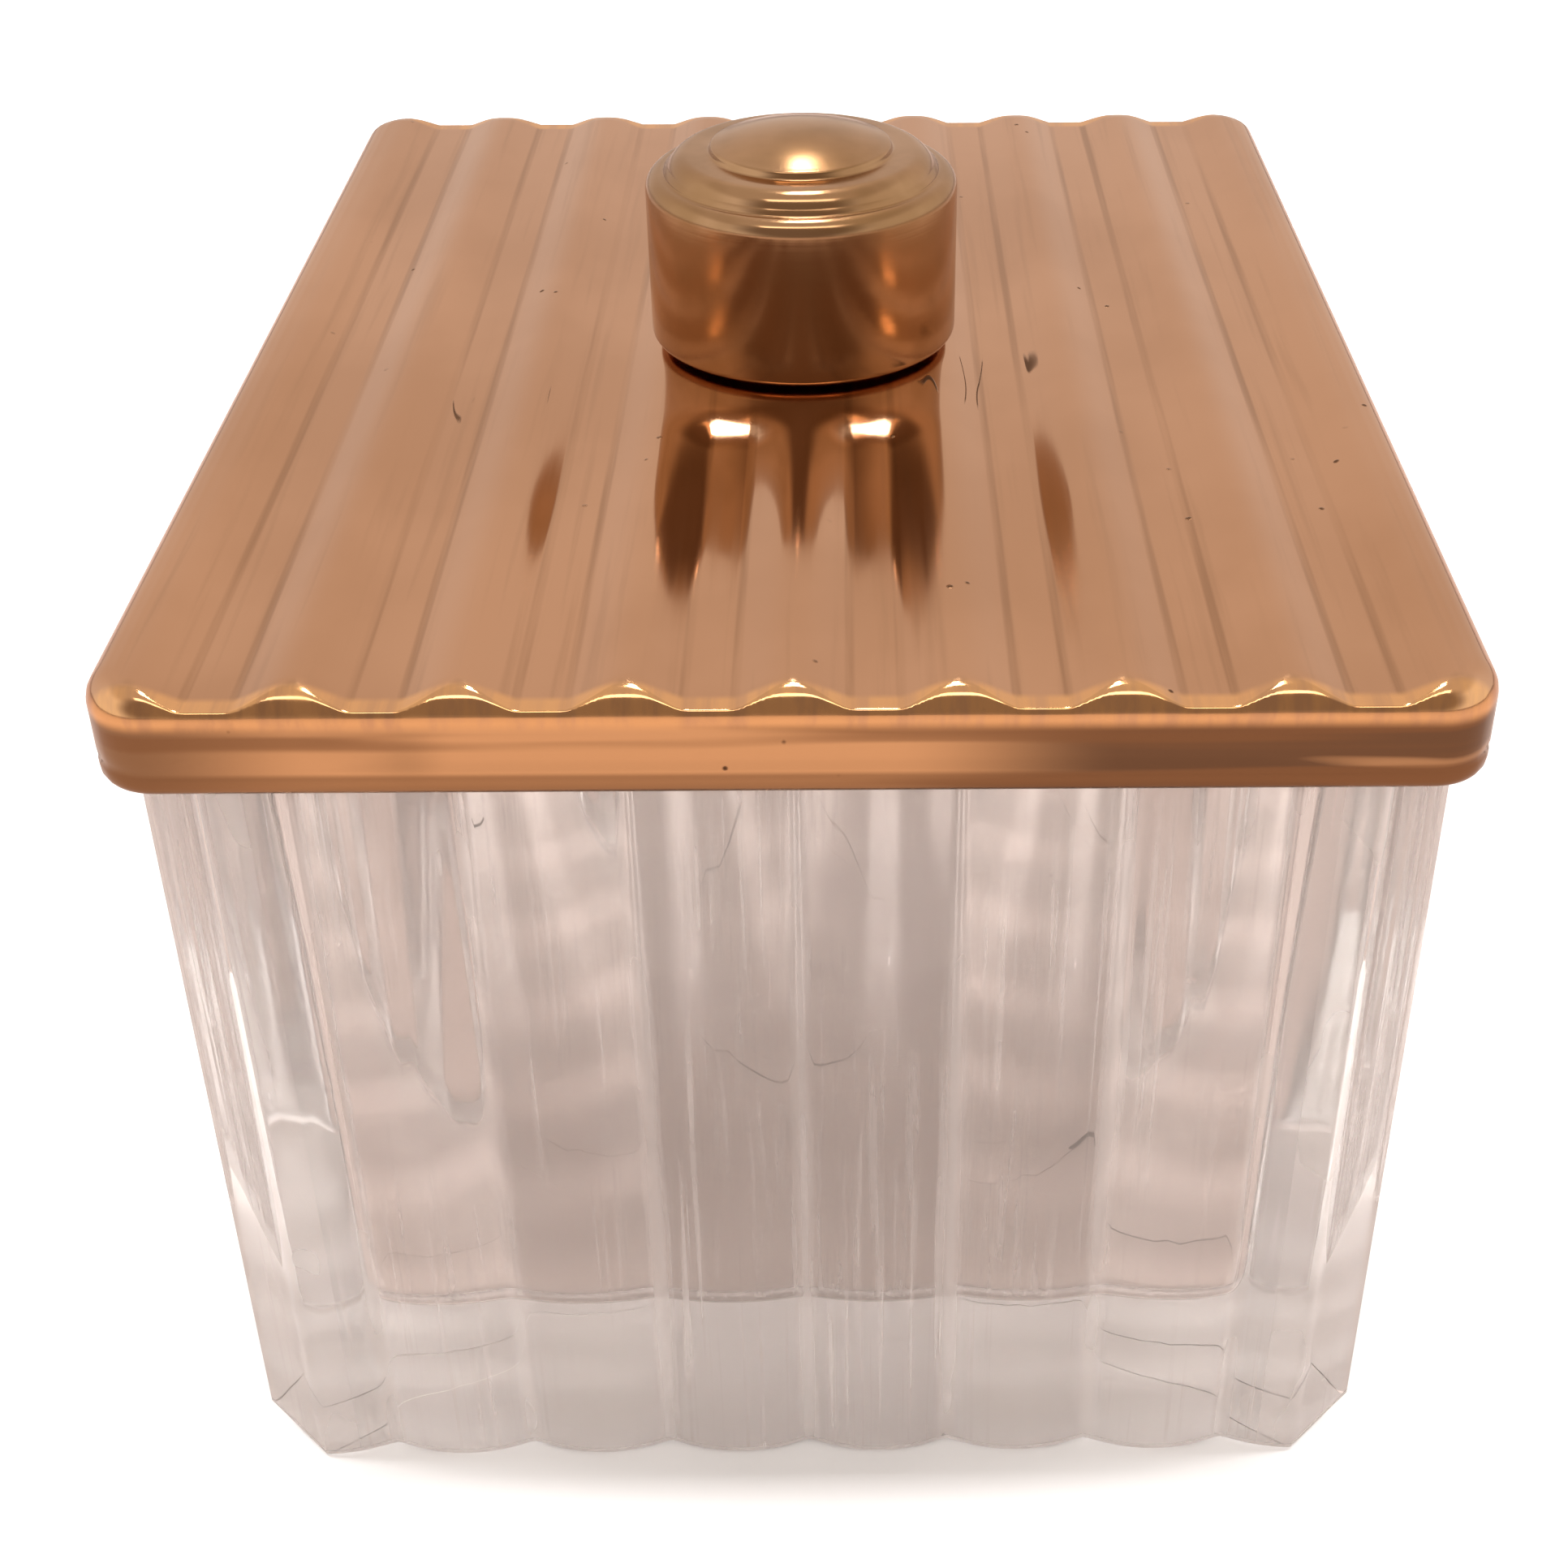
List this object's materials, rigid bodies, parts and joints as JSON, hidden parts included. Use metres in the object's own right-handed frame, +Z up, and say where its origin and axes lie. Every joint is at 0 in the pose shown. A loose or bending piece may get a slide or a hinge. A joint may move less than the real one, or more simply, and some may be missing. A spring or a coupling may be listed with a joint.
{
  "type": "glass box with brass lid",
  "caption": "Fluted pressed-glass box with a ridged sheet-brass lid that lifts off by a round brass knob. Stands on its flat base and holds small things.",
  "frame": {"origin": "centre of the surface that the box stands on", "axes": "+Z up through the knob; +X to the right across the ridges; +Y from the front to the back, along the ridges"},
  "size_m": [0.0944, 0.12, 0.0931],
  "materials": {
    "clear_glass": "clear pressed glass, fire-polished",
    "lid_brass": "polished sheet brass, pink-gold, fine wear and small dark specks",
    "knob_brass": "polished, golden brown",
    "plain_brass": "plain turned brass"
  },
  "bodies": {
    "box": {"glass_box": "clear_glass"},
    "lid": {"lid_shell": "lid_brass", "lid_knob": "knob_brass", "knob_washer": "plain_brass", "knob_screw": "plain_brass"}
  },
  "joints": [
    {"name": "lid_lift", "type": "slide", "parent": "box", "child": "lid", "axis": [0, 0, 1], "range_m": [0, 0.06]}
  ]
}
